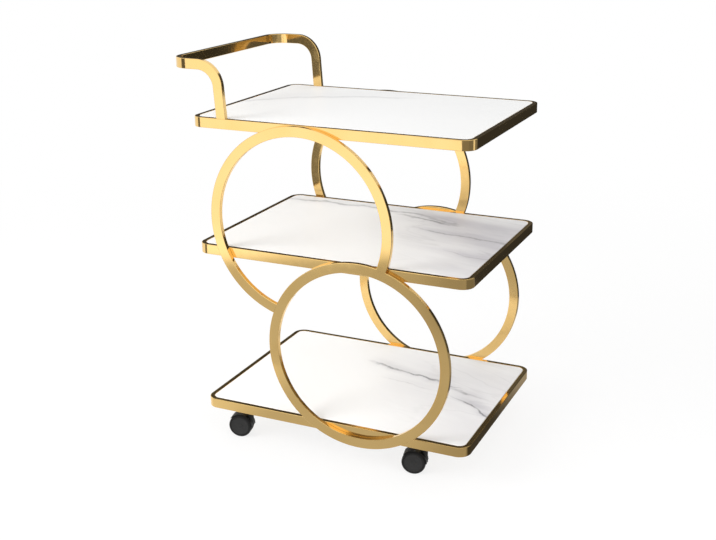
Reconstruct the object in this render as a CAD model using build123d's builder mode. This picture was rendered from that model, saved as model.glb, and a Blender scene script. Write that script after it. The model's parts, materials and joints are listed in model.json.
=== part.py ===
from build123d import *
import os
from math import cos, radians, sin, sqrt, tan

# Rolling serving cart with three shelves held by ring-shaped sides. Lengths in millimetres.
# Z is up from the floor, X runs along the shelves with the handle at the -X end, -Y is the front.

# Shelf frames, bent from rectangular tube
shelf_length = 610.0
shelf_width = 436.0
shelf_corner_radius = 26.0
lower_bay = 357.0
upper_bay = 270.5
tube_height = 21.0
tube_depth = 10.0
tube_wall = 1.2
tube_edge_radius = 1.0

# Shelf panels and what carries them
panel_thickness = 5.0
panel_gap = 0.6
panel_edge = 0.6
pad_diameter = 12.0
pad_thickness = 1.0
pad_pitch = 150.0
pads_per_bar = 3
cross_bar_width = 25.0
cross_bar_thickness = 4.0
cross_bar_setback = 155.0
castor_beam_width = 32.0
castor_beam_wall = 1.5

# Ring-shaped sides, bent from the shelf tube
ring_rise = 6.5
ring_drop = 39.5
lower_ring_setback = 35.0
upper_ring_diameter = 406.0
upper_ring_setback = 45.7
upper_ring_dip = 0.5
weld_gap = 0.1

# Push handle, bent from the shelf tube, its posts leaning towards the handle's end
handle_rise = 117.5
handle_reach = 45.0
handle_setback = 73.6
handle_lean = 4.0
handle_bend_radius = 46.0
handle_corner_radius = 38.0
plug_length = 26.0
plug_clearance = 0.05

# Screws, plugs and threaded inserts
screw_diameter = 5.0
screw_head_diameter = 9.0
screw_head_height = 3.0
screw_socket_size = 3.0
screw_socket_depth = 1.6
screw_bite = 5.5
screw_hole_clearance = 0.25
thread_clearance = 0.05
insert_diameter = 7.4
insert_length = 7.0
handle_screw_diameter = 4.0
handle_screw_head_height = 4.0
handle_screw_head_room = 0.3
handle_screw_access_clearance = 0.15

# Twin-wheel castors
wheel_diameter = 51.0
wheel_width = 10.0
wheel_side_gap = 0.5
wheel_outer_round = 3.0
wheel_inner_round = 1.5
wheel_rim = 4.5
wheel_hub_diameter = 16.0
wheel_cavity_depth = 5.0
cap_diameter = 40.0
cap_thickness = 1.5
cap_clearance = 0.1
cap_round = 0.7
axle_diameter = 6.0
axle_bite = 7.0
axle_end_gap = 0.3
axle_seat_clearance = 0.02
running_clearance = 0.05
hood_web = 4.0
hood_gap = 0.8
hood_wall = 1.5
hood_round = 0.7
hood_tilt = 40.0
hood_hub_diameter = 18.0
boss_diameter = 14.0
boss_floor = 2.0
swivel_pin_diameter = 8.0
swivel_gap = 0.3
castor_head = 17.0
castor_trail = 21.5
left_castor_setback = 93.0
right_castor_setback = 103.0
castor_inset = 31.5
castor_turn = 12.0
collar_diameter = 18.0
collar_thickness = 3.0
stem_diameter = 8.0
stem_spare = 0.6
stem_hole_clearance = 0.2
nut_flats = 13.0
nut_height = 5.5

# Levels above the floor
bottom_under = wheel_diameter + castor_head
bottom_top = bottom_under + tube_height
middle_top = bottom_top + lower_bay
top_top = middle_top + upper_bay

# Places along and across the shelves; the handle's reach is shared out so that the origin is central
shelf_x = handle_reach / 2
left_end = shelf_x - shelf_length / 2
right_end = shelf_x + shelf_length / 2
inner_length = shelf_length - 2 * tube_depth
inner_width = shelf_width - 2 * tube_depth
inner_corner_radius = shelf_corner_radius - tube_depth
rail_y = (shelf_width - tube_depth) / 2
post_x = left_end + handle_setback
post_run_in = tube_depth
handle_screw_head_diameter = tube_depth - 2 * (tube_wall + handle_screw_head_room)
cross_bar_x = (left_end + cross_bar_setback, right_end - cross_bar_setback)
castor_x = (left_end + left_castor_setback, right_end - right_castor_setback)
castor_y = shelf_width / 2 - castor_inset

# Room under the panels, and the level of the ring screws in it above a rail's underside
bar_top_drop = panel_thickness + pad_thickness
screw_level = (tube_height - bar_top_drop) / 2

# Rings: outer radii, and centres as X and Z
lower_ring_radius = (lower_bay + ring_rise + ring_drop) / 2
upper_ring_radius = upper_ring_diameter / 2
lower_ring = (right_end - lower_ring_setback - lower_ring_radius, bottom_top - ring_drop + lower_ring_radius)
upper_ring = (left_end + upper_ring_setback + upper_ring_radius, top_top - upper_ring_dip - upper_ring_radius)


def ring_points(ring, radius, shelf_top):
    """The two points, as X and Z, where a ring's middle line crosses a rail's screw level."""
    ring_x, ring_z = ring
    level = shelf_top - tube_height + screw_level
    half_chord = sqrt((radius - tube_height / 2) ** 2 - (level - ring_z) ** 2)
    return [(ring_x - half_chord, level), (ring_x + half_chord, level)]


top_points = ring_points(upper_ring, upper_ring_radius, top_top)
middle_points = ring_points(lower_ring, lower_ring_radius, middle_top)
bottom_points = ring_points(lower_ring, lower_ring_radius, bottom_top)
crossing_point = ring_points(upper_ring, upper_ring_radius, middle_top)[0]
post_points = [(post_x, -rail_y), (post_x, rail_y)]
castor_points = [(x, y) for x in castor_x for y in (-castor_y, castor_y)]

os.makedirs("parts", exist_ok=True)


def save(piece, name):
    """Label a finished piece and write it to its own file."""
    piece.part.label = name
    export_step(piece.part, f"parts/{name}.step")


def make_frame(name, shelf_top, side_points, foot_points=()):
    """A shelf frame: a rounded rectangle of hollow tube, drilled for ring screws and handle screws."""
    under = shelf_top - tube_height
    with BuildPart() as frame:
        with BuildSketch(Plane.XY.offset(under)):
            with Locations((shelf_x, 0)):
                RectangleRounded(shelf_length, shelf_width, shelf_corner_radius)
                RectangleRounded(inner_length, inner_width, inner_corner_radius, mode=Mode.SUBTRACT)
        extrude(amount=tube_height)
        fillet(frame.faces().filter_by(Axis.Z).edges(), tube_edge_radius)
        with BuildSketch(Plane.XY.offset(under + tube_wall)):
            with Locations((shelf_x, 0)):
                RectangleRounded(
                    shelf_length - 2 * tube_wall,
                    shelf_width - 2 * tube_wall,
                    shelf_corner_radius - tube_wall,
                )
                RectangleRounded(
                    inner_length + 2 * tube_wall,
                    inner_width + 2 * tube_wall,
                    inner_corner_radius + tube_wall,
                    mode=Mode.SUBTRACT,
                )
        extrude(amount=tube_height - 2 * tube_wall, mode=Mode.SUBTRACT)
        with BuildSketch(Plane.XZ):
            with Locations(*side_points):
                Circle(screw_diameter / 2 + screw_hole_clearance)
        extrude(amount=shelf_width, both=True, mode=Mode.SUBTRACT)
        if foot_points:
            with BuildSketch(Plane.XY.offset(shelf_top)):
                with Locations(*foot_points):
                    Circle(handle_screw_diameter / 2 + screw_hole_clearance)
            extrude(amount=-2 * tube_wall, mode=Mode.SUBTRACT)
            with BuildSketch(Plane.XY.offset(under)):
                with Locations(*foot_points):
                    Circle(handle_screw_head_diameter / 2 + handle_screw_access_clearance)
            extrude(amount=2 * tube_wall, mode=Mode.SUBTRACT)
    save(frame, name)


def make_panel(name, shelf_top):
    """A flat plate that lies inside a shelf frame, flush with the frame's top."""
    with BuildPart() as panel:
        with BuildSketch(Plane.XY.offset(shelf_top - panel_thickness)):
            with Locations((shelf_x, 0)):
                RectangleRounded(
                    inner_length - 2 * panel_gap,
                    inner_width - 2 * panel_gap,
                    inner_corner_radius - panel_gap,
                )
        extrude(amount=panel_thickness)
        chamfer(panel.faces().filter_by(Axis.Z).edges(), panel_edge)
    save(panel, name)


def make_pads(name, shelf_top, bar_x):
    """Soft discs between the bars of a shelf and its panel."""
    with BuildPart() as pads:
        with BuildSketch(Plane.XY.offset(shelf_top - bar_top_drop)):
            with Locations(*[(x, 0) for x in bar_x]):
                with GridLocations(0, pad_pitch, 1, pads_per_bar):
                    Circle(pad_diameter / 2)
        extrude(amount=pad_thickness)
    save(pads, name)


def make_cross_bars(name, shelf_top):
    """Two flat bars from the front rail to the rear rail, under the pads."""
    with BuildPart() as bars:
        with BuildSketch(Plane.XY.offset(shelf_top - bar_top_drop)):
            with Locations(*[(x, 0) for x in cross_bar_x]):
                Rectangle(cross_bar_width, inner_width)
        extrude(amount=-cross_bar_thickness)
    save(bars, name)


def make_castor_beams(name):
    """Two hollow beams across the bottom frame, flush with its underside, that carry the castor stems."""
    beam_height = tube_height - bar_top_drop
    with BuildPart() as beams:
        with BuildSketch(Plane.XZ):
            with Locations(*[(x, bottom_under + beam_height / 2) for x in castor_x]):
                Rectangle(castor_beam_width, beam_height)
                Rectangle(
                    castor_beam_width - 2 * castor_beam_wall,
                    beam_height - 2 * castor_beam_wall,
                    mode=Mode.SUBTRACT,
                )
        extrude(amount=inner_width / 2, both=True)
        with BuildSketch(Plane.XY.offset(bottom_under)):
            with Locations(*castor_points):
                Circle(stem_diameter / 2 + stem_hole_clearance)
        extrude(amount=castor_beam_wall, mode=Mode.SUBTRACT)
    save(beams, name)


def make_ring_pair(level_name, centre, radius, hole_points, coped):
    """A hollow ring on the front rails' outer faces and its mirror image on the rear rails."""
    face_plane = Plane.XZ.offset(shelf_width / 2)
    with BuildPart() as front_ring:
        with BuildSketch(face_plane):
            with Locations(centre):
                Circle(radius)
                Circle(radius - tube_height, mode=Mode.SUBTRACT)
        extrude(amount=tube_depth)
        fillet(front_ring.edges().filter_by(GeomType.CIRCLE), tube_edge_radius)
        with BuildSketch(face_plane.offset(tube_wall)):
            with Locations(centre):
                Circle(radius - tube_wall)
                Circle(radius - tube_height + tube_wall, mode=Mode.SUBTRACT)
        extrude(amount=tube_depth - 2 * tube_wall, mode=Mode.SUBTRACT)
        with BuildSketch(face_plane):
            with Locations(*hole_points):
                Circle(insert_diameter / 2 + thread_clearance)
        extrude(amount=2 * tube_wall, mode=Mode.SUBTRACT)
        if coped:
            with BuildSketch(face_plane):
                with Locations(lower_ring):
                    Circle(lower_ring_radius + weld_gap)
            extrude(amount=tube_depth, mode=Mode.SUBTRACT)
    with BuildPart() as rear_ring:
        mirror(front_ring.part, about=Plane.XZ)
    save(front_ring, f"front_{level_name}_ring")
    save(rear_ring, f"rear_{level_name}_ring")


def make_ring_fasteners():
    """Screws through the long rails from inside, and the threaded inserts in the rings that take them."""
    points = [*top_points, *middle_points, crossing_point, *bottom_points]
    inner_face = Plane.XZ.offset(inner_width / 2)
    with BuildPart() as screws:
        with BuildSketch(inner_face):
            with Locations(*points):
                Circle(screw_head_diameter / 2)
        extrude(amount=-screw_head_height)
        fillet(screws.edges().group_by(Axis.Y)[-1], screw_head_height / 3)
        with BuildSketch(inner_face):
            with Locations(*points):
                Circle(screw_diameter / 2)
        extrude(amount=tube_depth + screw_bite)
        with BuildSketch(inner_face.offset(-screw_head_height)):
            with Locations(*points):
                RegularPolygon(screw_socket_size / 2, 6, major_radius=False)
        extrude(amount=screw_socket_depth, mode=Mode.SUBTRACT)
        mirror(about=Plane.XZ)
    save(screws, "ring_screws")
    with BuildPart() as inserts:
        with BuildSketch(Plane.XZ.offset(shelf_width / 2)):
            with Locations(*points):
                Circle(insert_diameter / 2)
                Circle(screw_diameter / 2 + thread_clearance, mode=Mode.SUBTRACT)
        extrude(amount=insert_length)
        mirror(about=Plane.XZ)
    save(inserts, "ring_inserts")


def post_section(side):
    """The plane across a leaning handle post below its foot, on the front (-1) or rear (1) rail."""
    lean = radians(handle_lean)
    start = (post_x + post_run_in * tan(lean), side * rail_y, top_top - post_run_in)
    return Plane(start, x_dir=(cos(lean), 0, sin(lean)), z_dir=(-sin(lean), 0, cos(lean)))


def make_handle():
    """The push handle: posts on the long rails, bent over into arms and round into a crossbar."""
    arm_z = top_top + handle_rise - tube_height / 2
    arm_x = post_x - (arm_z - top_top) * tan(radians(handle_lean))
    bar_x = left_end - handle_reach + tube_depth / 2
    front_foot = post_section(-1)
    rear_foot = post_section(1)
    route = [
        front_foot.origin,
        (arm_x, -rail_y, arm_z),
        (bar_x, -rail_y, arm_z),
        (bar_x, rail_y, arm_z),
        (arm_x, rail_y, arm_z),
        rear_foot.origin,
    ]
    bends = [handle_bend_radius, handle_corner_radius, handle_corner_radius, handle_bend_radius]
    with BuildPart() as handle:
        with BuildLine():
            FilletPolyline(*route, radius=bends)
        with BuildSketch(front_foot):
            RectangleRounded(tube_height, tube_depth, tube_edge_radius)
            Rectangle(tube_height - 2 * tube_wall, tube_depth - 2 * tube_wall, mode=Mode.SUBTRACT)
        sweep()
        split(bisect_by=Plane.XY.offset(top_top), keep=Keep.TOP)
    save(handle, "handle")


def make_handle_fasteners():
    """Threaded plugs in the feet of the handle, and the screws from inside the top frame's tube into them."""
    head_seat = top_top - tube_wall
    with BuildPart() as plugs:
        with BuildSketch(post_section(-1), post_section(1)):
            Rectangle(
                tube_height - 2 * (tube_wall + plug_clearance),
                tube_depth - 2 * (tube_wall + plug_clearance),
            )
        extrude(amount=post_run_in + plug_length)
        split(bisect_by=Plane.XY.offset(top_top), keep=Keep.TOP)
        with BuildSketch(Plane.XY.offset(top_top)):
            with Locations(*post_points):
                Circle(handle_screw_diameter / 2 + thread_clearance)
        extrude(amount=2 * plug_length, mode=Mode.SUBTRACT)
    save(plugs, "handle_plugs")
    with BuildPart() as screws:
        with BuildSketch(Plane.XY.offset(head_seat)):
            with Locations(*post_points):
                Circle(handle_screw_head_diameter / 2)
        extrude(amount=-handle_screw_head_height)
        with BuildSketch(Plane.XY.offset(head_seat)):
            with Locations(*post_points):
                Circle(handle_screw_diameter / 2)
        extrude(amount=tube_wall + plug_length / 2)
        with BuildSketch(Plane.XY.offset(head_seat - handle_screw_head_height)):
            with Locations(*post_points):
                RegularPolygon(screw_socket_size / 2, 6, major_radius=False)
        extrude(amount=screw_socket_depth, mode=Mode.SUBTRACT)
    save(screws, "handle_screws")


def make_castor_nuts():
    """Hexagon nuts inside the castor beams, one on each castor stem."""
    with BuildPart() as nuts:
        with BuildSketch(Plane.XY.offset(bottom_under + castor_beam_wall)):
            with Locations(*castor_points):
                RegularPolygon(nut_flats / 2, 6, major_radius=False)
                Circle(stem_diameter / 2 + thread_clearance, mode=Mode.SUBTRACT)
        extrude(amount=nut_height)
    save(nuts, "castor_nuts")


# One castor about its own stem at X = Y = 0, its wheels trailing towards -X
wheel_radius = wheel_diameter / 2
wheel_pocket_radius = wheel_radius + hood_gap
hood_radius = wheel_pocket_radius + hood_wall
wheel_inner_y = hood_web / 2 + wheel_side_gap
castor_half_width = wheel_inner_y + wheel_width
collar_under = bottom_under - collar_thickness
hood_top = collar_under - swivel_gap
pocket_rise = sqrt(wheel_pocket_radius**2 - (castor_trail - swivel_pin_diameter / 2) ** 2)
bore_floor = wheel_radius + pocket_rise + boss_floor
axle_centre = (-castor_trail, wheel_radius)

with BuildPart() as castor_stem:
    with BuildSketch(Plane.XY.offset(bore_floor + swivel_gap)):
        Circle(swivel_pin_diameter / 2)
    extrude(amount=collar_under - bore_floor - swivel_gap)
    with BuildSketch(Plane.XY.offset(collar_under)):
        Circle(collar_diameter / 2)
    extrude(amount=collar_thickness)
    with BuildSketch(Plane.XY.offset(bottom_under)):
        Circle(stem_diameter / 2)
    extrude(amount=castor_beam_wall + nut_height + stem_spare)
    chamfer(castor_stem.edges().group_by(Axis.Z)[-1], stem_spare)

with BuildPart() as castor_hood:
    with BuildSketch(Plane.XZ):
        with Locations(axle_centre):
            Circle(hood_radius)
            Rectangle(
                2 * hood_radius,
                hood_radius,
                align=(Align.CENTER, Align.MAX),
                mode=Mode.SUBTRACT,
            )
            Rectangle(
                2 * hood_radius,
                hood_radius,
                rotation=-hood_tilt,
                align=(Align.CENTER, Align.MAX),
                mode=Mode.SUBTRACT,
            )
    extrude(amount=castor_half_width, both=True)
    fillet(castor_hood.edges().filter_by(GeomType.CIRCLE), hood_round)
    with BuildSketch(Plane.XZ):
        with Locations(axle_centre):
            Circle(hood_hub_diameter / 2)
    extrude(amount=hood_web / 2, both=True)
    with BuildSketch(Plane.XY.offset(wheel_radius)):
        Circle(boss_diameter / 2)
    extrude(amount=hood_top - wheel_radius)
    with BuildSketch(Plane.XZ.offset(hood_web / 2)):
        with Locations(axle_centre):
            Circle(wheel_pocket_radius)
    extrude(amount=castor_half_width, mode=Mode.SUBTRACT)
    with BuildSketch(Plane.XZ.offset(-hood_web / 2)):
        with Locations(axle_centre):
            Circle(wheel_pocket_radius)
    extrude(amount=-castor_half_width, mode=Mode.SUBTRACT)
    with BuildSketch(Plane.XZ):
        with Locations(axle_centre):
            Circle(axle_diameter / 2 + axle_seat_clearance)
    extrude(amount=hood_web, both=True, mode=Mode.SUBTRACT)
    with BuildSketch(Plane.XY.offset(hood_top)):
        Circle(swivel_pin_diameter / 2 + running_clearance)
    extrude(amount=bore_floor - hood_top, mode=Mode.SUBTRACT)

with BuildPart() as castor_axle:
    with BuildSketch(Plane.XZ):
        with Locations(axle_centre):
            Circle(axle_diameter / 2)
    extrude(amount=wheel_inner_y + axle_bite - axle_end_gap, both=True)
    chamfer(castor_axle.edges().filter_by(GeomType.CIRCLE), axle_end_gap)

wheel_face = Plane.XZ.offset(wheel_inner_y)
with BuildPart() as front_wheel:
    with BuildSketch(wheel_face):
        with Locations(axle_centre):
            Circle(wheel_radius)
    extrude(amount=wheel_width)
    fillet(front_wheel.edges().group_by(Axis.Y)[0], wheel_outer_round)
    fillet(front_wheel.edges().group_by(Axis.Y)[-1], wheel_inner_round)
    with BuildSketch(wheel_face):
        with Locations(axle_centre):
            Circle(wheel_radius - wheel_rim)
            Circle(wheel_hub_diameter / 2, mode=Mode.SUBTRACT)
    extrude(amount=wheel_cavity_depth, mode=Mode.SUBTRACT)
    with BuildSketch(wheel_face):
        with Locations(axle_centre):
            Circle(axle_diameter / 2 + running_clearance)
    extrude(amount=axle_bite, mode=Mode.SUBTRACT)
    with BuildSketch(wheel_face.offset(wheel_width - cap_thickness)):
        with Locations(axle_centre):
            Circle(cap_diameter / 2)
    extrude(amount=cap_thickness, mode=Mode.SUBTRACT)

with BuildPart() as front_cap:
    with BuildSketch(wheel_face.offset(wheel_width - cap_thickness)):
        with Locations(axle_centre):
            Circle(cap_diameter / 2 - cap_clearance)
    extrude(amount=cap_thickness)
    fillet(front_cap.edges().group_by(Axis.Y)[0], cap_round)

with BuildPart() as rear_wheel:
    mirror(front_wheel.part, about=Plane.XZ)

with BuildPart() as rear_cap:
    mirror(front_cap.part, about=Plane.XZ)

castor_pieces = {
    "stem": castor_stem,
    "hood": castor_hood,
    "axle": castor_axle,
    "front_wheel": front_wheel,
    "front_wheel_cap": front_cap,
    "rear_wheel": rear_wheel,
    "rear_wheel_cap": rear_cap,
}

make_frame("top_frame", top_top, top_points, post_points)
make_frame("middle_frame", middle_top, [*middle_points, crossing_point])
make_frame("bottom_frame", bottom_top, bottom_points)
for shelf_name, shelf_top in (("top", top_top), ("middle", middle_top)):
    make_cross_bars(f"{shelf_name}_cross_bars", shelf_top)
    make_pads(f"{shelf_name}_pads", shelf_top, cross_bar_x)
make_castor_beams("castor_beams")
make_pads("bottom_pads", bottom_top, castor_x)
for shelf_name, shelf_top in (("top", top_top), ("middle", middle_top), ("bottom", bottom_top)):
    make_panel(f"{shelf_name}_panel", shelf_top)
make_ring_pair("upper", upper_ring, upper_ring_radius, [*top_points, crossing_point], coped=True)
make_ring_pair("lower", lower_ring, lower_ring_radius, [*middle_points, *bottom_points], coped=False)
make_ring_fasteners()
make_handle()
make_handle_fasteners()
make_castor_nuts()

castor_names = ("front_left", "rear_left", "front_right", "rear_right")
for castor_name, (stem_x, stem_y) in zip(castor_names, castor_points):
    outward_turn = castor_turn if stem_y < 0 else -castor_turn
    for piece_name, piece in castor_pieces.items():
        with BuildPart() as placed_piece:
            with Locations(Location((stem_x, stem_y, 0), (0, 0, outward_turn))):
                add(piece.part)
        save(placed_piece, f"{castor_name}_castor_{piece_name}")
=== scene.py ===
"""Looks for a rolling serving cart: gold tube, marble shelves and twin-wheel castors on a plain studio floor."""

import json
import math
from typing import NamedTuple

import bmesh
import bpy
from bpy.props import FloatProperty, FloatVectorProperty, IntProperty, PointerProperty
from mathutils import Matrix, Vector


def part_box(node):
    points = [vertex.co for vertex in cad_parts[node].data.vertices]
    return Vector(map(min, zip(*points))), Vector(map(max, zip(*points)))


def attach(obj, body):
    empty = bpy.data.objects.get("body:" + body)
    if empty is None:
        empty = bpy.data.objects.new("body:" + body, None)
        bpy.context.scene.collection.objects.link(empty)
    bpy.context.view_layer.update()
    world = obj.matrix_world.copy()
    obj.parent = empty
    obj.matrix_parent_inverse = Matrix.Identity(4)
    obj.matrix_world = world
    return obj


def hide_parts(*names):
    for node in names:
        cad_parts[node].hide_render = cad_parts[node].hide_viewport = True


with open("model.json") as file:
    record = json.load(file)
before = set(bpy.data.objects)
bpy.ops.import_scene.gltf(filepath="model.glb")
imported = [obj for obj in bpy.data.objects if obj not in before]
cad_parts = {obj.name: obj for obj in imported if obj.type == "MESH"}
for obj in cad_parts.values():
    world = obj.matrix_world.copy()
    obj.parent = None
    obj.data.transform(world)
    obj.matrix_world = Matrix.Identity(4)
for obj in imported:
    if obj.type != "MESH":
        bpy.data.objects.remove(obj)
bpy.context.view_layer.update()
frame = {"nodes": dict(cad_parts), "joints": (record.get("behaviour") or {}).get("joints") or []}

bl_info = {
    "name": "Serving cart looks",
    "version": (1, 0, 0),
    "blender": (4, 5, 0),
    "location": "3D View > Sidebar > Cart",
    "description": "Builds the visible pieces, finishes and studio of a rolling serving cart on its packed frame",
    "category": "Object",
}

SHELVES = ("top", "middle", "bottom")
SIDES = {"front": -1, "rear": 1}
CASTORS = ("front_left", "rear_left", "front_right", "rear_right")
ACROSS = Vector((1, 0, 0))
DEEP = Vector((0, 1, 0))
UP = Vector((0, 0, 1))
WHITE = (1, 1, 1, 1)
BLACK = (0, 0, 0, 1)

# Faces round a small rounding, a wheel and a pad.
ROUNDING_STEPS = 4
WHEEL_STEPS = 96
PAD_STEPS = 32


def middle(node):
    """The middle of a node's box."""
    low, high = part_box(node)
    return (low + high) / 2


def spread(node):
    """The size of a node's box."""
    low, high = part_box(node)
    return high - low


class CartTube(bpy.types.PropertyGroup):
    """Section and bends of the gold tube."""

    height: FloatProperty(
        name="Tube height", description="Height of the tube's section",
        default=spread("top_frame").z, unit="LENGTH", precision=4,
    )
    depth: FloatProperty(
        name="Tube depth", description="Depth of the tube's section, across the rings",
        default=spread("front_lower_ring").y, unit="LENGTH", precision=4,
    )
    edge: FloatProperty(
        name="Tube edge", description="Radius along the tube's four edges",
        default=0.001, unit="LENGTH", precision=4,
    )
    shelf_corner: FloatProperty(
        name="Shelf corner", description="Outer radius of a shelf frame's corners",
        default=0.026, unit="LENGTH", precision=4,
    )
    post_lean: FloatProperty(
        name="Post lean", description="Lean of the handle's posts away from upright",
        default=math.radians(4), unit="ROTATION",
    )
    post_bend: FloatProperty(
        name="Post bend", description="Radius of the bend from a post into an arm",
        default=0.046, unit="LENGTH", precision=4,
    )
    grip_corner: FloatProperty(
        name="Grip corner", description="Radius of the bend from an arm into the crossbar",
        default=0.038, unit="LENGTH", precision=4,
    )
    edge_steps: IntProperty(
        name="Edge steps", description="Faces round each edge of the tube", default=5, min=2, max=12,
    )
    bend_steps: IntProperty(
        name="Bend steps", description="Faces along a quarter turn of the tube", default=48, min=8, max=120,
    )


class CartCastors(bpy.types.PropertyGroup):
    """Sizes of the castors' wheels."""

    wheel_width: FloatProperty(
        name="Wheel width", description="Width of one wheel along its axle",
        default=0.01, unit="LENGTH", precision=4,
    )
    disc_thickness: FloatProperty(
        name="Disc thickness", description="Thickness of the disc over a wheel",
        default=0.0015, unit="LENGTH", precision=4,
    )


class CartColours(bpy.types.PropertyGroup):
    """Colours of the cart's finishes."""

    gold: FloatVectorProperty(
        name="Gold", description="Colour of the polished tube",
        default=(0.9, 0.62, 0.25), subtype="COLOR", min=0, max=1,
    )
    deep_gold: FloatVectorProperty(
        name="Deep gold", description="Colour where the plating is a little thicker",
        default=(0.88, 0.595, 0.225), subtype="COLOR", min=0, max=1,
    )
    marble: FloatVectorProperty(
        name="Marble", description="Ground colour of the shelf panels",
        default=(0.93, 0.93, 0.925), subtype="COLOR", min=0, max=1,
    )
    # The marble's grey clouds; the same grey is the painted shade on the panels' right halves.
    marble_cloud_and_shade: FloatVectorProperty(
        name="Marble cloud", description="Colour of the soft grey clouds in the marble",
        default=(0.58, 0.57, 0.6), subtype="COLOR", min=0, max=1,
    )
    marble_vein: FloatVectorProperty(
        name="Marble vein", description="Colour of the veins in the marble",
        default=(0.17, 0.165, 0.175), subtype="COLOR", min=0, max=1,
    )
    nylon: FloatVectorProperty(
        name="Black nylon", description="Colour of the castor hoods and treads",
        default=(0.008, 0.008, 0.008), subtype="COLOR", min=0, max=1,
    )
    wheel_disc: FloatVectorProperty(
        name="Wheel disc", description="Colour of the discs over the wheels",
        default=(0.02, 0.02, 0.02), subtype="COLOR", min=0, max=1,
    )
    rubber: FloatVectorProperty(
        name="Pad rubber", description="Colour of the soft pads under the panels",
        default=(0.55, 0.55, 0.53), subtype="COLOR", min=0, max=1,
    )
    zinc: FloatVectorProperty(
        name="Zinc", description="Colour of screws, inserts, nuts, stems and axles",
        default=(0.52, 0.53, 0.54), subtype="COLOR", min=0, max=1,
    )


class CartStudio(bpy.types.PropertyGroup):
    """Camera and light of the plain studio."""

    camera_place: FloatVectorProperty(
        name="Camera place", description="Where the camera stands",
        default=(0.96912, -2.06714, 1.14721), subtype="TRANSLATION", unit="LENGTH",
    )
    camera_turn: FloatProperty(
        name="Camera turn", description="Angle of the camera round the cart, from the front",
        default=math.radians(23.9269), unit="ROTATION",
    )
    camera_fall: FloatProperty(
        name="Camera fall", description="Angle by which the camera looks down",
        default=math.radians(17.4906), unit="ROTATION",
    )
    camera_roll: FloatProperty(
        name="Camera roll", description="Tilt of the camera about its own axis",
        default=math.radians(-0.2701), unit="ROTATION",
    )
    lens: FloatProperty(
        name="Lens", description="Focal length for a 36 mm sensor", default=55.006, unit="CAMERA",
    )
    shift: FloatVectorProperty(
        name="Lens shift", description="Sideways and upward shift of the lens", default=(-0.0361, -0.0445), size=2,
    )
    floor: FloatVectorProperty(
        name="Floor", description="Colour of the studio floor", default=(0.9, 0.9, 0.9), subtype="COLOR", min=0, max=1,
    )
    room: FloatProperty(
        name="Room light", description="Even light from all round", default=0.9, min=0,
    )
    front_lamp: FloatProperty(
        name="Front lamp", description="Power of the lamp at the front left", default=50, min=0, unit="POWER",
    )
    right_lamp: FloatProperty(
        name="Right lamp", description="Power of the lamp at the right", default=16, min=0, unit="POWER",
    )


class Signal:
    """One output of a shader node; arithmetic on it adds Math nodes to the same sheet."""

    def __init__(self, sheet, socket):
        self.sheet = sheet
        self.socket = socket

    def _math(self, operation, first, second=0.0):
        return self.sheet.add("ShaderNodeMath", {"operation": operation}, {0: first, 1: second})

    def __add__(self, other):
        return self._math("ADD", self, other)

    def __radd__(self, other):
        return self._math("ADD", other, self)

    def __sub__(self, other):
        return self._math("SUBTRACT", self, other)

    def __rsub__(self, other):
        return self._math("SUBTRACT", other, self)

    def __mul__(self, other):
        return self._math("MULTIPLY", self, other)

    def __rmul__(self, other):
        return self._math("MULTIPLY", other, self)

    def __truediv__(self, other):
        return self._math("DIVIDE", self, other)

    def __rtruediv__(self, other):
        return self._math("DIVIDE", other, self)

    def __abs__(self):
        return self._math("ABSOLUTE", self)

    def least(self, other):
        return self._math("MINIMUM", self, other)

    def most(self, other):
        return self._math("MAXIMUM", self, other)


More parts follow.
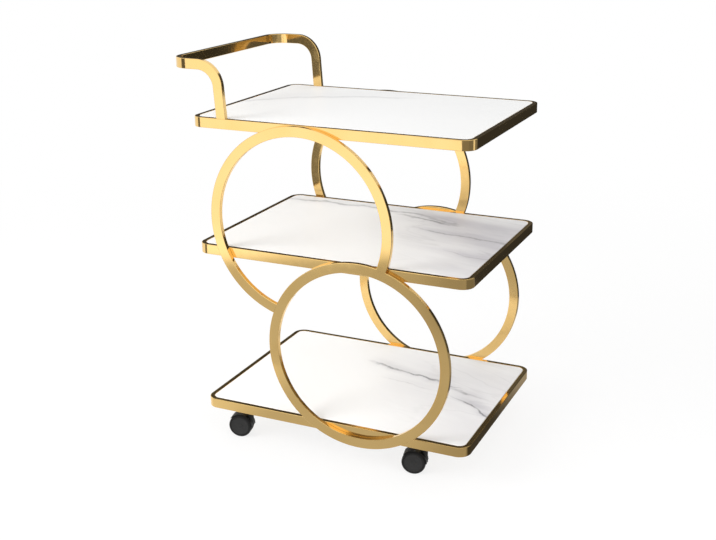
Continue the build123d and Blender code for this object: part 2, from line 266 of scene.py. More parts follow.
class FinishSheet:
    """The node tree of one finish, and what it is made of."""

    # A Mix node's sockets share names, so they go by number: the share, the two colours and the mixed colour.
    MIX_SHARE, MIX_FIRST, MIX_SECOND, MIX_COLOUR = 0, 6, 7, 2

    def __init__(self, tree):
        self.tree = tree
        self.tree.nodes.clear()

    def add(self, kind, settings=None, inputs=None, output=0):
        """A node of a kind, with its settings, then the values or links of its sockets."""
        node = self.tree.nodes.new(kind)
        for name, value in (settings or {}).items():
            setattr(node, name, value)
        for key, value in (inputs or {}).items():
            if isinstance(value, Signal):
                self.tree.links.new(value.socket, node.inputs[key])
            else:
                node.inputs[key].default_value = value
        return Signal(self, node.outputs[output]) if node.outputs else None

    def place(self, stretch=(1, 1, 1), offset=(0, 0, 0), turn=0.0):
        """Places on the piece, in metres, shifted, turned and then drawn out."""
        where = self.add("ShaderNodeTexCoord", output="Object")
        return self.add(
            "ShaderNodeMapping", {"vector_type": "TEXTURE"},
            {"Vector": where, "Location": offset, "Rotation": (0, 0, turn), "Scale": stretch},
        )

    def along(self, axis):
        """The place along the X, Y or Z axis, in metres."""
        return self.add("ShaderNodeSeparateXYZ", None, {"Vector": self.place()}, axis)

    def noise(self, where, scale, detail=2.0, roughness=0.5):
        """Smooth noise with about scale lumps to the metre."""
        return self.add(
            "ShaderNodeTexNoise", None,
            {"Vector": where, "Scale": scale, "Detail": detail, "Roughness": roughness},
        )

    def ease(self, value, start, end, low=0.0, high=1.0):
        """Value eased from low at start to high at end."""
        return self.add(
            "ShaderNodeMapRange", {"interpolation_type": "SMOOTHSTEP"},
            {"Value": value, "From Min": start, "From Max": end, "To Min": low, "To Max": high},
        )

    def fade(self, value, start, end):
        """Value eased from 1 at start to 0 at end."""
        return self.ease(value, start, end, 1.0, 0.0)

    def mix(self, share, first, second):
        """Two colours mixed by share."""
        sockets = {self.MIX_SHARE: share, self.MIX_FIRST: opaque(first), self.MIX_SECOND: opaque(second)}
        return self.add("ShaderNodeMix", {"data_type": "RGBA"}, sockets, self.MIX_COLOUR)

    def mix_shader(self, share, first, second):
        """Two shaders mixed by share."""
        return self.add("ShaderNodeMixShader", None, {0: share, 1: first, 2: second})

    def bump(self, height, distance, strength):
        """A normal from a height, of which 1 stands for distance in metres."""
        return self.add("ShaderNodeBump", None, {"Height": height, "Distance": distance, "Strength": strength})

    def shader(self, **sockets):
        """A Principled shader from its sockets, in plain names."""
        named = {name.replace("_", " ").title().replace("Ior", "IOR"): value for name, value in sockets.items()}
        return self.add("ShaderNodeBsdfPrincipled", None, named)

    def surface(self, shader):
        """The shader on the finish's surface."""
        self.add("ShaderNodeOutputMaterial", None, {"Surface": shader})


def opaque(colour):
    """A colour as four numbers, or a link as it is."""
    return colour if isinstance(colour, Signal) else (*colour[:3], 1.0)


def new_finish(name):
    """A material and the sheet that its nodes go on."""
    material = bpy.data.materials.new(name)
    material.use_nodes = True
    return material, FinishSheet(material.node_tree)


def polished_gold(name):
    """Gold-plated tube, polished, with a faint haze and hand marks."""
    colours = bpy.context.scene.cart_colours
    material, sheet = new_finish(name)
    where = sheet.place()
    cloud = sheet.noise(where, scale=14, detail=3)
    haze = sheet.noise(where, scale=60, detail=4, roughness=0.6)
    grain = sheet.noise(where, scale=1400)
    ripple = sheet.noise(where, scale=55, detail=1)
    sheet.surface(sheet.shader(
        base_color=sheet.mix(sheet.ease(cloud, 0.35, 0.7), colours.gold, colours.deep_gold),
        metallic=1.0,
        roughness=0.09 + 0.05 * sheet.ease(haze, 0.4, 0.75) + 0.02 * cloud,
        normal=sheet.bump(ripple + grain * 0.03, distance=0.00003, strength=0.5),
    ))
    return material


class Vein(NamedTuple):
    """A vein in a marble panel, in metres from the cart's middle.

    Its line crosses the middle at a depth, with a slope and a bow, and shows from a start to an end across the panel.
    It has a width, and a weight between 0 and 1.
    """

    depth: float
    slope: float
    start: float
    end: float
    width: float
    weight: float
    bow: float = 0.0


class MarbleCut(NamedTuple):
    """Where a panel was cut from the block, the slant of its grain, the grey of its right half and its veins. The grey
    of the right half is partly marble cloud and partly painted shade, like the shade the shelf above casts.
    """

    offset: tuple
    slant: float
    # How grey the right half is: partly marble cloud, partly painted shade.
    haze: float
    veins: tuple


# The middle panel, under the top shelf, gets the most painted shade on its right half; the top panel gets almost none.
MARBLE_CUTS = {
    "top": MarbleCut(offset=(3.1, 1.7, 0.4), slant=math.radians(25), haze=0.05, veins=(
        Vein(depth=0.14, slope=0.25, start=-0.3, end=0.06, width=0.014, weight=0.24, bow=-1.3),
    )),
    "middle": MarbleCut(offset=(7.3, 4.2, 1.9), slant=math.radians(-14), haze=1.0, veins=(
        Vein(depth=0.168, slope=-0.16, start=-0.3, end=0.2, width=0.01, weight=0.5, bow=-0.6),
        Vein(depth=0.15, slope=-0.21, start=0.03, end=0.18, width=0.008, weight=0.7),
        Vein(depth=0.077, slope=-0.17, start=0.1, end=0.35, width=0.005, weight=0.5),
        Vein(depth=0.005, slope=-0.3, start=0.22, end=0.35, width=0.004, weight=0.35),
    )),
    "bottom": MarbleCut(offset=(11.6, 9.4, 3.3), slant=math.radians(-16), haze=0.5, veins=(
        Vein(depth=0.0936, slope=-0.211, start=-0.02, end=0.21, width=0.0055, weight=0.85),
        Vein(depth=0.04, slope=-0.15, start=0.04, end=0.16, width=0.004, weight=0.2),
        Vein(depth=0.113, slope=-0.36, start=0.2, end=0.28, width=0.008, weight=0.6),
        Vein(depth=0.118, slope=-0.556, start=0.225, end=0.36, width=0.0055, weight=0.85),
    )),
}
# A vein fades over these lengths beyond and within its two ends.
TIP_BEYOND, TIP_WITHIN = 0.03, 0.05
# The grey smear beside a vein, in widths of the vein: how far its middle lies off the line, and how far it reaches.
SMEAR_OFFSET, SMEAR_REACH = 2, 6


def white_marble(name, cut):
    """White marble with a few long veins, each a thin broken line with a soft grey smear along it, and a grey right
    half that is partly marble cloud and partly painted shade.
    """
    colours = bpy.context.scene.cart_colours
    material, sheet = new_finish(name)
    where = sheet.place(offset=cut.offset)
    across, deep = sheet.along("X"), sheet.along("Y")
    drawn = sheet.place(stretch=(1.0, 0.28, 1.0), offset=cut.offset, turn=cut.slant)
    wander = 0.06 * (sheet.noise(where, scale=11, detail=4, roughness=0.55) - 0.5)
    broken = sheet.ease(sheet.noise(drawn, scale=26, detail=3, roughness=0.6), 0.34, 0.6)
    line = smear = 0.0
    for vein in cut.veins:
        apart = deep - (vein.depth + across * vein.slope + across * across * vein.bow) + wander
        begun = sheet.ease(across, vein.start - TIP_BEYOND, vein.start + TIP_WITHIN)
        shown = vein.weight * (begun * sheet.fade(across, vein.end - TIP_WITHIN, vein.end + TIP_BEYOND))
        line = line + shown * sheet.fade(abs(apart), 0.0, vein.width)
        beside = abs(apart - SMEAR_OFFSET * vein.width)
        smear = smear + shown * sheet.fade(beside, 0.0, SMEAR_REACH * vein.width)
    thread = sheet.fade(abs(sheet.noise(drawn, scale=3.1, detail=3) - 0.5), 0.0, 0.02)
    # Painted shade: cut.haze greys the right half of the panel, a little less towards the rear, along with marble
    # cloud and fine threads.
    rightwards = across + 0.5 * deep + 0.16 * (sheet.noise(where, scale=5) - 0.5)
    right = sheet.ease(rightwards, -0.02, 0.3) * sheet.ease(deep, 0.12, 0.19, low=1.0, high=0.5)
    cloud = sheet.ease(sheet.noise(drawn, scale=4.2, detail=4, roughness=0.55), 0.25, 0.7)
    speck = sheet.noise(where, scale=420)
    # The grey clouds are the smears beside the veins and the painted shade on the right half.
    clouds_and_shade = (0.45 * smear * (0.4 + cloud) + cut.haze * right * (0.55 + 0.45 * cloud)).least(1.0)
    lines = (line * (0.45 + 0.55 * broken) + 0.16 * cut.haze * right * thread).least(1.0)
    ground = sheet.mix(clouds_and_shade, colours.marble, colours.marble_cloud_and_shade)
    sheet.surface(sheet.shader(
        base_color=sheet.mix(lines, ground, colours.marble_vein),
        roughness=0.42 + 0.06 * speck + 0.05 * lines,
        specular_ior_level=0.2,
        normal=sheet.bump(speck - lines, distance=0.00002, strength=0.3),
    ))
    return material


def moulded(name, colour, roughness):
    """Moulded plastic with a fine spark-eroded grain and a few scuffs, which add to its roughness."""
    material, sheet = new_finish(name)
    where = sheet.place()
    grain = sheet.noise(where, scale=1800, roughness=0.6)
    scuff = sheet.ease(sheet.noise(where, scale=130, detail=4, roughness=0.6), 0.55, 0.8)
    pale = [min(1.0, channel * 1.5 + 0.006) for channel in colour]
    sheet.surface(sheet.shader(
        base_color=sheet.mix(0.5 * scuff + 0.2 * grain, colour, pale),
        roughness=roughness + 0.15 * scuff + 0.1 * grain,
        specular_ior_level=0.3,
        normal=sheet.bump(grain, distance=0.00012, strength=0.35),
    ))
    return material


def pad_rubber(name):
    """Soft grey rubber of the pads under the panels, a little dusty."""
    rubber = bpy.context.scene.cart_colours.rubber
    material, sheet = new_finish(name)
    where = sheet.place()
    grain = sheet.noise(where, scale=900, detail=3)
    dust = sheet.noise(where, scale=90, detail=3)
    darker = [channel * 0.7 for channel in rubber]
    sheet.surface(sheet.shader(
        base_color=sheet.mix(sheet.ease(dust, 0.4, 0.7), rubber, darker),
        roughness=0.62 + 0.15 * grain,
        normal=sheet.bump(grain, distance=0.0001, strength=0.4),
    ))
    return material


def zinc_steel(name):
    """Zinc-plated steel with turning marks."""
    zinc = bpy.context.scene.cart_colours.zinc
    material, sheet = new_finish(name)
    cloud = sheet.noise(sheet.place(), scale=160, detail=3)
    marks = sheet.noise(sheet.place(stretch=(1, 1, 24)), scale=260)
    darker = [channel * 0.72 for channel in zinc]
    sheet.surface(sheet.shader(
        base_color=sheet.mix(sheet.ease(cloud, 0.35, 0.7), zinc, darker),
        metallic=1.0,
        roughness=0.28 + 0.12 * marks,
        normal=sheet.bump(marks, distance=0.00005, strength=0.4),
    ))
    return material


def finish(name, make, **looks):
    """A finish by name, made once."""
    return bpy.data.materials.get(name) or make(name, **looks)


def gold_finish():
    """The polished gold of every tube and bar."""
    return finish("polished_gold", polished_gold)


def paint(piece, material):
    """The piece with the material as its only one."""
    piece.data.materials.clear()
    piece.data.materials.append(material)
    return piece


def paint_node(node, material):
    """A material on a CAD node that stays in sight."""
    paint(frame["nodes"][node], material)


def outline(corners, steps, closed=True):
    """Points with normals round an outline; a corner is its two coordinates and its radius."""
    places = [Vector(corner[:2]) for corner in corners]
    turns = [
        (places[i] - places[i - 1]).cross(places[(i + 1) % len(places)] - places[i]) for i in range(len(places))
    ]
    swept = sum(a.cross(b) for a, b in zip(places, places[1:] + places[:1]))
    way = 1 if swept > 0 else -1
    points = []
    for i, (place, corner) in enumerate(zip(places, corners)):
        before, after = places[i - 1], places[(i + 1) % len(places)]
        if not closed and i in (0, len(places) - 1):
            run = (after - place) if i == 0 else (place - before)
            run.normalize()
            points.append((place, Vector((run.y, -run.x)) * way))
            continue
        back, ahead = (before - place).normalized(), (after - place).normalized()
        half = back.angle(ahead) / 2
        radius = corner[2]
        centre = place + (back + ahead).normalized() * (radius / math.sin(half))
        start = place + back * (radius / math.tan(half)) - centre
        sense = 1 if turns[i] * way > 0 else -1
        sweep = (math.pi - 2 * half) * sense * way
        for step in range(steps + 1):
            spoke = start.copy()
            spoke.rotate(Matrix.Rotation(sweep * step / steps, 2))
            points.append((centre + spoke, spoke.normalized() * sense))
    return points


def tube_section():
    """The rounded rectangle of the tube, as points with normals; height first, then depth."""
    tube = bpy.context.scene.cart_tube
    tall, deep = tube.height / 2, tube.depth / 2
    corners = [(tall, -deep), (tall, deep), (-tall, deep), (-tall, -deep)]
    return outline([(*corner, tube.edge) for corner in corners], tube.edge_steps)


def spokes(first, second, steps):
    """Directions in even steps round a full turn, from the first axis towards the second."""
    angles = (2 * math.pi * i / steps for i in range(steps))
    return [first * math.cos(angle) + second * math.sin(angle) for angle in angles]


def carry(section, stations):
    """Rows of points and rows of normals of a section carried along stations of (origin, height axis, depth axis)."""
    points = [[o + h * p.x + d * p.y for p, _ in section] for o, h, d in stations]
    normals = [[h * n.x + d * n.y for _, n in section] for _, h, d in stations]
    return points, normals


def skin(name, sheets, material):
    """A piece over one or more sheets of (points, normals, closed along, closed across), with exact normals."""
    build = bmesh.new()
    held = build.verts.layers.float_vector.new("held_normal")
    for points, normals, along, across in sheets:
        rows = []
        for row, row_normals in zip(points, normals):
            rows.append([build.verts.new(point) for point in row])
            for vert, normal in zip(rows[-1], row_normals):
                vert[held] = normal
        count = len(rows[0])
        for i in range(len(rows) if along else len(rows) - 1):
            here, there = rows[i], rows[(i + 1) % len(rows)]
            for j in range(count if across else count - 1):
                k = (j + 1) % count
                build.faces.new((here[j], here[k], there[k], there[j]))
        if across and not along:
            build.faces.new(rows[0])
            build.faces.new(rows[-1])
    bmesh.ops.remove_doubles(build, verts=build.verts, dist=1e-7)
    bmesh.ops.recalc_face_normals(build, faces=build.faces)
    mesh = bpy.data.meshes.new(name)
    build.to_mesh(mesh)
    build.free()
    mesh.shade_smooth()
    mesh.normals_split_custom_set_from_vertices([Vector(item.vector) for item in mesh.attributes["held_normal"].data])
    mesh.attributes.remove(mesh.attributes["held_normal"])
    piece = bpy.data.objects.new(name, mesh)
    bpy.context.scene.collection.objects.link(piece)
    return paint(piece, material)


def settle(piece, body, node):
    """The piece rides on a body and stands for a CAD node, which it hides."""
    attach(piece, body)
    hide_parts(node)


def axle(castor, side):
    """The middle of a castor's wheel, and the way outwards along its axle."""
    joint = next(row for row in frame["joints"] if row["name"] == f"{castor}_{side}_wheel_spin")
    return Vector(joint["pos_m"]), Vector(joint["axis"]).normalized() * SIDES[side]


def turned(section, centre, outwards):
    """Rows for a section of (radius, distance outwards) turned about a castor's axle line."""
    level = UP.cross(outwards).normalized()
    return carry(section, [(centre, spoke, outwards) for spoke in spokes(level, UP, WHEEL_STEPS)])


def bent_route(points, radii, steps):
    """Places and directions along a route of straight runs whose corners are bent to radii."""
    places = [Vector(point) for point in points]
    stations = [(places[0], (places[1] - places[0]).normalized())]
    for before, corner, after, radius in zip(places, places[1:], places[2:], radii):
        back, ahead = (before - corner).normalized(), (after - corner).normalized()
        half = back.angle(ahead) / 2
        centre = corner + (back + ahead).normalized() * (radius / math.sin(half))
        start = corner + back * (radius / math.tan(half)) - centre
        axis = back.cross(ahead).normalized()
        sweep = -(math.pi - 2 * half)
        for step in range(steps + 1):
            turn = Matrix.Rotation(sweep * step / steps, 3, axis)
            stations.append((centre + turn @ start, (turn @ -back).normalized()))
    stations.append((places[-1], (places[-1] - places[-2]).normalized()))
    return stations


class CART_OT_frames(bpy.types.Operator):
    """Bend the three shelf frames from gold tube"""

    bl_idname = "cart.frames"
    bl_label = "Shelf frames"

    def execute(self, context):
        tube = context.scene.cart_tube
        section = tube_section()
        for shelf in SHELVES:
            node = f"{shelf}_frame"
            centre, size = middle(node), spread(node)
            half_x, half_y = size.x / 2 - tube.depth / 2, size.y / 2 - tube.depth / 2
            corners = [(-half_x, -half_y), (half_x, -half_y), (half_x, half_y), (-half_x, half_y)]
            radius = tube.shelf_corner - tube.depth / 2
            plan = outline([(*corner, radius) for corner in corners], tube.bend_steps // 2)
            stations = [(centre + Vector((*p, 0)), UP, Vector((*n, 0))) for p, n in plan]
            piece = skin(f"{shelf}_frame_tube", [(*carry(section, stations), True, True)], gold_finish())
            settle(piece, "cart", node)
        return {"FINISHED"}


class CART_OT_rings(bpy.types.Operator):
    """Roll the lower rings, and the upper rings whose ends meet them, from gold tube"""

    bl_idname = "cart.rings"
    bl_label = "Side rings"

    def execute(self, context):
        tube = context.scene.cart_tube
        section = tube_section()
        steps = 4 * tube.bend_steps
        for side in SIDES:
            low = f"{side}_lower_ring"
            centre, outer = middle(low), spread(low).x / 2
            hoop = outer - tube.height / 2
            stations = [(centre + spoke * hoop, spoke, DEEP) for spoke in spokes(ACROSS, UP, steps)]
            piece = skin(f"{low}_tube", [(*carry(section, stations), True, True)], gold_finish())
            settle(piece, "cart", low)
            self.upper_ring(tube, section, steps, side, centre, outer)
        return {"FINISHED"}

    def upper_ring(self, tube, section, steps, side, low_centre, low_outer):
        """An open ring whose two ends are shaped to the lower ring's back and welded to it."""
        node = f"{side}_upper_ring"
        low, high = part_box(node)
        outer = (high.x - low.x) / 2
        centre = Vector((low.x + outer, (low.y + high.y) / 2, high.z - outer))
        away = low_centre - centre
        gap = math.hypot(away.x, away.z)
        facing = math.atan2(away.z, away.x)
        reach = low_outer - tube.edge
        points, normals = [], []
        for i in range(steps + 1):
            row, row_normals = [], []
            for point, normal in section:
                radius = outer - tube.height / 2 + point.x
                half = math.acos((radius**2 + gap**2 - reach**2) / (2 * radius * gap))
                angle = facing + half + (2 * math.pi - 2 * half) * i / steps
                spoke = ACROSS * math.cos(angle) + UP * math.sin(angle)
                row.append(centre + spoke * radius + DEEP * point.y)
                row_normals.append(spoke * normal.x + DEEP * normal.y)
            points.append(row)
            normals.append(row_normals)
        piece = skin(f"{node}_tube", [(points, normals, False, True)], gold_finish())
        settle(piece, "cart", node)


class CART_OT_handle(bpy.types.Operator):
    """Bend the push handle from gold tube, its posts standing on the top frame"""

    bl_idname = "cart.handle"
    bl_label = "Push handle"

    def execute(self, context):
        tube = context.scene.cart_tube
        low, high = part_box("handle")
        lean = tube.post_lean
        rail_y = (high.y - low.y - tube.depth) / 2
        post_x = high.x - tube.height / 2 / math.cos(lean)
        arm_z = high.z - tube.height / 2
        arm_x = post_x - (arm_z - low.z) * math.tan(lean)
        bar_x = low.x + tube.depth / 2
        route = [
            (post_x, -rail_y, low.z), (arm_x, -rail_y, arm_z), (bar_x, -rail_y, arm_z),
            (bar_x, rail_y, arm_z), (arm_x, rail_y, arm_z), (post_x, rail_y, low.z),
        ]
        bends = (tube.post_bend, tube.grip_corner, tube.grip_corner, tube.post_bend)
        run = bent_route(route, bends, tube.bend_steps)
        stations = []
        for place, ahead in run:
            outwards = UP.cross(ahead).normalized()
            stations.append((place, ahead.cross(outwards), outwards))
        points, normals = carry(tube_section(), stations)
        for end in (0, -1):
            ahead = run[end][1]
            points[end] = [point + ahead * ((low.z - point.z) / ahead.z) for point in points[end]]
        piece = skin("handle_tube", [(points, normals, False, True)], gold_finish())
        settle(piece, "cart", "handle")
        return {"FINISHED"}


class CART_OT_panels(bpy.types.Operator):
    """Give the three shelf panels their marble, each cut from another part of the block"""

    bl_idname = "cart.panels"
    bl_label = "Marble panels"

    def execute(self, context):
        for shelf in SHELVES:
            paint_node(f"{shelf}_panel", white_marble(f"white_marble_{shelf}", MARBLE_CUTS[shelf]))
        return {"FINISHED"}


class CART_OT_supports(bpy.types.Operator):
    """Finish the bars under the panels and lay rounded soft pads on them"""

    bl_idname = "cart.supports"
    bl_label = "Bars and pads"

    PAD_RADIUS = 0.006
    PAD_ROUNDING = 0.0003

    def execute(self, context):
        for node in ("top_cross_bars", "middle_cross_bars", "castor_beams"):
            paint_node(node, gold_finish())
        rubber = finish("pad_rubber", pad_rubber)
        radius, rounding = self.PAD_RADIUS, self.PAD_ROUNDING
        for shelf in SHELVES:
            node = f"{shelf}_pads"
            low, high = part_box(node)
            thick = high.z - low.z
            corners = [(0, 0, 0), (radius, 0, rounding), (radius, thick, rounding), (0, thick, 0)]
            profile = outline(corners, ROUNDING_STEPS, closed=False)
            sheets = []
            for x in (low.x + radius, high.x - radius):
                for y in (low.y + radius, (low.y + high.y) / 2, high.y - radius):
                    centre = Vector((x, y, low.z))
                    stations = [(centre, spoke, UP) for spoke in spokes(ACROSS, DEEP, PAD_STEPS)]
                    sheets.append((*carry(profile, stations), True, False))
            settle(skin(f"{shelf}_soft_pads", sheets, rubber), "cart", node)
        return {"FINISHED"}


class CART_OT_fasteners(bpy.types.Operator):
    """Plate the screws, inserts, plugs, nuts, stems and axles with zinc"""

    bl_idname = "cart.fasteners"
    bl_label = "Fasteners"

    def execute(self, context):
        nodes = ["ring_screws", "ring_inserts", "handle_screws", "handle_plugs", "castor_nuts"]
        nodes += [f"{castor}_castor_{part}" for castor in CASTORS for part in ("stem", "axle")]
        for node in nodes:
            paint_node(node, finish("zinc_steel", zinc_steel))
        return {"FINISHED"}


class CART_OT_castors(bpy.types.Operator):
    """Mould the twin wheels, their discs and the hoods of the four castors"""

    bl_idname = "cart.castors"
    bl_label = "Castors"

    def execute(self, context):
        colours, sizes = context.scene.cart_colours, context.scene.cart_castors
        nylon = finish("black_nylon", moulded, colour=list(colours.nylon), roughness=0.45)
        disc = finish("grey_disc", moulded, colour=list(colours.wheel_disc), roughness=0.5)
        tread = finish("wheel_tread", moulded, colour=[channel * 0.9 for channel in colours.nylon], roughness=0.5)
        for castor in CASTORS:
            paint_node(f"{castor}_castor_hood", nylon)
            for side in SIDES:
                self.wheel(castor, side, sizes, tread)
                self.disc(castor, side, sizes, disc)
        return {"FINISHED"}

    def wheel(self, castor, side, sizes, material):
        """A wheel with a crowned, grooved tread, a hollow back and a seat for its disc.

        A corner of its profile is a radius, a distance outwards and a rounding.
        """
        node = f"{castor}_castor_{side}_wheel"
        outer, wide = spread(node).z / 2, sizes.wheel_width
        bore, hub, rim, seat = 0.0031, 0.008, outer - 0.0045, 0.02
        hollow, seat_floor = 0.005, wide - sizes.disc_thickness
        sunk, groove_rounding = outer - 0.0004, 0.0001
        groove = [(outer, 0), (sunk, 0.0002), (sunk, 0.0006), (outer, 0.0008)]
        profile = [
            (bore, 0, 0.0003), (hub, 0, 0.0005), (hub, hollow, 0.0004),
            (rim, hollow, 0.0004), (rim, 0, 0.0004), (outer, 0, 0.0015),
        ]
        for start in (0.0028, 0.0056):
            profile += [(radius, start + along, groove_rounding) for radius, along in groove]
        profile += [(outer, wide, 0.003), (seat, wide, 0.0003), (seat, seat_floor, 0.0002), (bore, seat_floor, 0.0003)]
        centre, outwards = axle(castor, side)
        rows = turned(outline(profile, ROUNDING_STEPS), centre - outwards * (wide / 2), outwards)
        piece = skin(f"{node}_moulded", [(*rows, True, True)], material)
        settle(piece, f"{castor}_{side}_wheel", node)

    def disc(self, castor, side, sizes, material):
        """The dark disc over a wheel: a flat rim, a shallow dish and a low round hub."""
        node = f"{castor}_castor_{side}_wheel_cap"
        outer, thick = spread(node).z / 2, sizes.disc_thickness
        rim, dish, dish_end, hub = 0.0172, 0.0164, 0.0062, 0.0054
        sunk, crown = thick - 0.0005, thick + 0.0002
        profile = [
            (0, 0, 0), (outer, 0, 0.0002), (outer, thick, 0.0006), (rim, thick, 0.0004),
            (dish, sunk, 0.0004), (dish_end, sunk, 0.0004), (hub, thick, 0.0005), (0, crown, 0),
        ]
        centre, outwards = axle(castor, side)
        base = centre + outwards * (sizes.wheel_width / 2 - thick)
        rows = turned(outline(profile, ROUNDING_STEPS, closed=False), base, outwards)
        piece = skin(f"{node}_moulded", [(*rows, True, False)], material)
        settle(piece, f"{castor}_{side}_wheel", node)


def plain_sheet(name, corners, material):
    """A flat stage sheet from its four corners."""
    mesh = bpy.data.meshes.new(name)
    mesh.from_pydata(corners, [], [(0, 1, 2, 3)])
    piece = bpy.data.objects.new(name, mesh)
    bpy.context.scene.collection.objects.link(piece)
    return paint(piece, material)


def upright(left, right, y, low, high):
    """Corners of an upright sheet that faces along Y."""
    return [(left, y, low), (right, y, low), (right, y, high), (left, y, high)]


def sideways(x, front, rear, low, high):
    """Corners of an upright sheet that faces along X."""
    return [(x, front, low), (x, rear, low), (x, rear, high), (x, front, high)]


def flat(left, right, front, rear, z):
    """Corners of a level sheet."""
    return [(left, front, z), (right, front, z), (right, rear, z), (left, rear, z)]


class CART_OT_stage(bpy.types.Operator):
    """Set the floor, the room, the lamps, the glowing cards that paint reflections on the tube, and the camera"""

    bl_idname = "cart.stage"
    bl_label = "Studio"

    FLOOR_REACH = 12
    CARD_GLOW = 1.5
    LAMP_AIM = Vector((0, 0, 0.3))
    SENSOR_WIDTH = 36

    def execute(self, context):
        studio = context.scene.cart_studio
        self.room(context.scene, studio)
        self.floor(studio)
        self.cards()
        self.lamp(context.scene, "front_left", place=(-1.9, -1.9, 1.7), size=1.8, power=studio.front_lamp)
        self.lamp(context.scene, "right", place=(2.4, -0.9, 1.1), size=1.6, power=studio.right_lamp)
        self.camera(context.scene, studio)
        context.scene.view_settings.view_transform = "Standard"
        return {"FINISHED"}

    @staticmethod
    def seen(sheet):
        """1 for what the camera, a mirror or glass sees, 0 for light on a surface."""
        rays = ("Is Camera Ray", "Is Glossy Ray", "Is Transmission Ray")
        straight, mirrored, through = [sheet.add("ShaderNodeLightPath", output=ray) for ray in rays]
        return straight.most(mirrored).most(through)

    def room(self, scene, studio):
        """A white room that lights the cart evenly."""
        scene.world = bpy.data.worlds.new("studio_room")
        scene.world.use_nodes = True
        sheet = FinishSheet(scene.world.node_tree)
        light = sheet.add("ShaderNodeBackground", None, {"Color": WHITE, "Strength": studio.room})
        white = sheet.add("ShaderNodeBackground", None, {"Color": WHITE, "Strength": 1.0})
        sheet.add("ShaderNodeOutputWorld", None, {"Surface": sheet.mix_shader(self.seen(sheet), light, white)})

    def floor(self, studio):
        """A wide pale floor that shows white and keeps a soft shadow."""
        material, sheet = new_finish("studio_floor")
        fleck = sheet.noise(sheet.place(), scale=240)
        paler = [min(1.0, channel * 1.03) for channel in studio.floor]
        matt = sheet.shader(base_color=sheet.mix(fleck, studio.floor, paler), roughness=0.9, specular_ior_level=0.0)
        white = sheet.add("ShaderNodeEmission", None, {"Color": WHITE, "Strength": 1.0})
        apart = sheet.add("ShaderNodeVectorMath", {"operation": "LENGTH"}, {0: sheet.place()}, "Value")
        share = sheet.ease(apart, 0.9, 2.6, low=0.8) * self.seen(sheet)
        sheet.surface(sheet.mix_shader(share, matt, white))
        reach = self.FLOOR_REACH
        plain_sheet("studio_floor", flat(-reach, reach, -reach, reach, 0), material)

    def card(self, name, corners, level):
        """A glowing card that only polished surfaces mirror; level is a number or what gives it on a sheet."""
        material, sheet = new_finish(name)
        if callable(level):
            glow = sheet.mix(level(sheet) / self.CARD_GLOW, BLACK, WHITE)
        else:
            glow = opaque([level / self.CARD_GLOW] * 3)
        sheet.surface(sheet.shader(
            base_color=BLACK, roughness=1.0, specular_ior_level=0.0,
            emission_color=glow, emission_strength=self.CARD_GLOW,
        ))
        card = plain_sheet(name, corners, material)
        card.visible_camera = False
        card.visible_diffuse = False
        card.visible_transmission = False
        card.visible_volume_scatter = False
        card.visible_shadow = False

    @staticmethod
    def front_level(sheet):
        """Bright above a slanting lower edge and left of a right edge, dull below and dim beyond."""
        across, height = sheet.along("X"), sheet.along("Z")
        above = height - 0.15 * across
        bright = 1.27 + 0.15 * sheet.fade(above, 0.36, 0.46) * sheet.ease(across, -0.2, -0.5)
        fall = sheet.ease(across, 0.02, 0.16) * sheet.ease(height, 0.1, 0.22)
        dull = 0.5 + 0.08 * sheet.ease(across, 0.0, -0.2) + 0.05 * sheet.ease(across, -0.25, -0.4) - 0.15 * fall
        lit = dull + (bright - dull) * sheet.ease(above, 0.312, 0.352)
        tall, upper = sheet.ease(height, 0.44, 0.54), sheet.ease(height, 0.62, 0.66)
        edge = across - 0.15 * tall + 0.24 * upper
        beyond = sheet.ease(edge, 0.14, 0.165) * sheet.ease(height, 0.1, 0.2, low=0.3)
        dim = sheet.ease(height, 0.25, 0.5, low=0.36, high=0.24) + 0.16 * upper
        return lit + (dim - lit) * beyond

    @staticmethod
    def floor_level(sheet):
        """Dull, brighter to the left and dimmer to the right."""
        across = sheet.along("X")
        return 0.56 + 0.3 * sheet.ease(across, -0.18, -0.36) - 0.17 * sheet.ease(across, 0.12, 0.26)

    @staticmethod
    def left_level(sheet):
        """Dim, darker towards the top."""
        return sheet.ease(sheet.along("Z"), 0.5, 0.64, low=0.22, high=0.13)

    @staticmethod
    def right_level(sheet):
        """Dim, with one small bright patch that paints a thin highlight on the top frame's front right corner."""
        beside, height = sheet.along("Y"), sheet.along("Z")
        # Painted highlight: the bright patch for the top frame's front right corner.
        wide = sheet.ease(beside, -0.14, -0.08) * sheet.fade(beside, 0.06, 0.14)
        return 0.2 + 0.75 * wide * sheet.ease(height, 0.42, 0.48) * sheet.fade(height, 0.58, 0.64)

    @staticmethod
    def right_floor_level(sheet):
        """Dark beside the cart, brighter at the front and towards the rear."""
        beside = sheet.along("Y")
        return 0.05 + 0.34 * sheet.fade(beside, -0.24, -0.15) + 0.28 * sheet.ease(beside, 0.08, 0.36)

    @staticmethod
    def rear_level(sheet):
        """Dark, a little brighter towards the left."""
        return 0.035 + 0.07 * sheet.ease(sheet.along("X"), 0.28, 0.16)

    def cards(self):
        """Pale and dark glowing cards round the cart, out of the camera's sight and lighting nothing, whose glow
        paints the reflections, highlights and dark bands on the polished tube.
        """
        left, right, front, rear = -0.6, 0.95, -0.62, 0.9
        on_floor, high, cart_front = 0.002, 1.0, -0.24
        self.card("front_card", upright(left, right, front, low=0, high=high), self.front_level)
        self.card("front_floor_card", flat(left, right, front, cart_front, on_floor), self.floor_level)
        shelf = {"left": 0.045, "right": 0.3, "front": front}
        self.card("low_shelf_card", flat(**shelf, rear=-0.25, z=0.12), level=0.52)
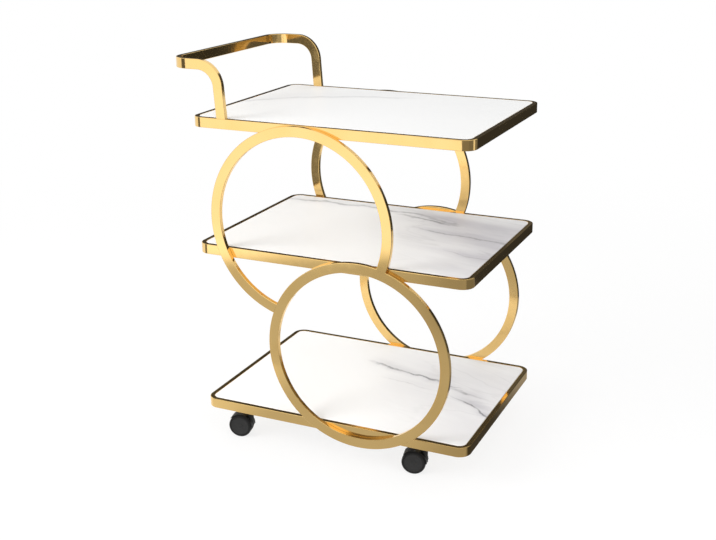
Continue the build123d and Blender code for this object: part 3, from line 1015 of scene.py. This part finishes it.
        # A dark card just under the shelf card: it paints a dark reflection, a crescent on the inner face at the
        # bottom of the front lower ring.
        self.card("low_shade_card", flat(**shelf, rear=-0.253, z=0.119), level=0.17)
        self.card("left_card", upright(-1.1, left, front, low=0, high=high), self.left_level)
        self.card("right_card", sideways(right, front, rear, low=0, high=0.85), self.right_level)
        self.card("right_floor_card", flat(0.335, right, cart_front, rear, on_floor), self.right_floor_level)
        self.card("right_back_card", upright(0.05, right, rear, low=0, high=0.8), self.rear_level)
        self.card("back_card", upright(left=-1.3, right=1.0, y=1.2, low=0.42, high=1.5), level=0.06)

    def lamp(self, scene, name, place, size, power):
        """A large soft lamp, aimed at the cart and out of sight."""
        data = bpy.data.lights.new(name, "AREA")
        data.shape = "DISK"
        data.size = size
        data.energy = power
        lamp = bpy.data.objects.new(name, data)
        lamp.location = place
        lamp.rotation_euler = (self.LAMP_AIM - Vector(place)).to_track_quat("-Z", "Y").to_euler()
        lamp.visible_camera = False
        lamp.visible_glossy = False
        scene.collection.objects.link(lamp)

    def camera(self, scene, studio):
        """The camera at the photograph's place and angle."""
        data = bpy.data.cameras.new("camera")
        data.sensor_width = self.SENSOR_WIDTH
        data.lens = studio.lens
        data.shift_x, data.shift_y = studio.shift
        turn, fall, roll = studio.camera_turn, studio.camera_fall, studio.camera_roll
        right = Vector((math.cos(turn), math.sin(turn), 0))
        back = Vector((math.sin(turn) * math.cos(fall), -math.cos(turn) * math.cos(fall), math.sin(fall)))
        above = back.cross(right)
        rolled_right = right * math.cos(roll) + above * math.sin(roll)
        rolled_above = above * math.cos(roll) - right * math.sin(roll)
        axes = Matrix((rolled_right, rolled_above, back)).transposed()
        camera = bpy.data.objects.new("camera", data)
        camera.matrix_world = Matrix.Translation(studio.camera_place) @ axes.to_4x4()
        scene.collection.objects.link(camera)
        scene.camera = camera


GROUPS = {
    "cart_tube": CartTube, "cart_castors": CartCastors, "cart_colours": CartColours, "cart_studio": CartStudio,
}
OPERATORS = (
    CART_OT_frames, CART_OT_rings, CART_OT_handle, CART_OT_panels, CART_OT_supports,
    CART_OT_fasteners, CART_OT_castors, CART_OT_stage,
)


class CART_PT_looks(bpy.types.Panel):
    """Sizes, colours and build steps of the serving cart"""

    bl_idname = "CART_PT_looks"
    bl_label = "Serving cart"
    bl_space_type = "VIEW_3D"
    bl_region_type = "UI"
    bl_category = "Cart"

    def draw(self, context):
        for group in (getattr(context.scene, name) for name in GROUPS):
            box = self.layout.box()
            for name in group.bl_rna.properties.keys():
                if name not in ("rna_type", "name"):
                    box.prop(group, name)
        for operator in OPERATORS:
            self.layout.operator(operator.bl_idname)


CLASSES = (*GROUPS.values(), *OPERATORS, CART_PT_looks)


def register():
    """Make the groups, operators and panel known, and hang the groups on the scene."""
    for kind in CLASSES:
        bpy.utils.register_class(kind)
    for name, group in GROUPS.items():
        setattr(bpy.types.Scene, name, PointerProperty(type=group))


def unregister():
    """Undo what register did."""
    for name in GROUPS:
        delattr(bpy.types.Scene, name)
    for kind in reversed(CLASSES):
        bpy.utils.unregister_class(kind)


def main():
    """Build every piece and the stage."""
    register()
    bpy.ops.cart.frames()
    bpy.ops.cart.rings()
    bpy.ops.cart.handle()
    bpy.ops.cart.panels()
    bpy.ops.cart.supports()
    bpy.ops.cart.fasteners()
    bpy.ops.cart.castors()
    bpy.ops.cart.stage()


if __name__ == "__main__":
    main()
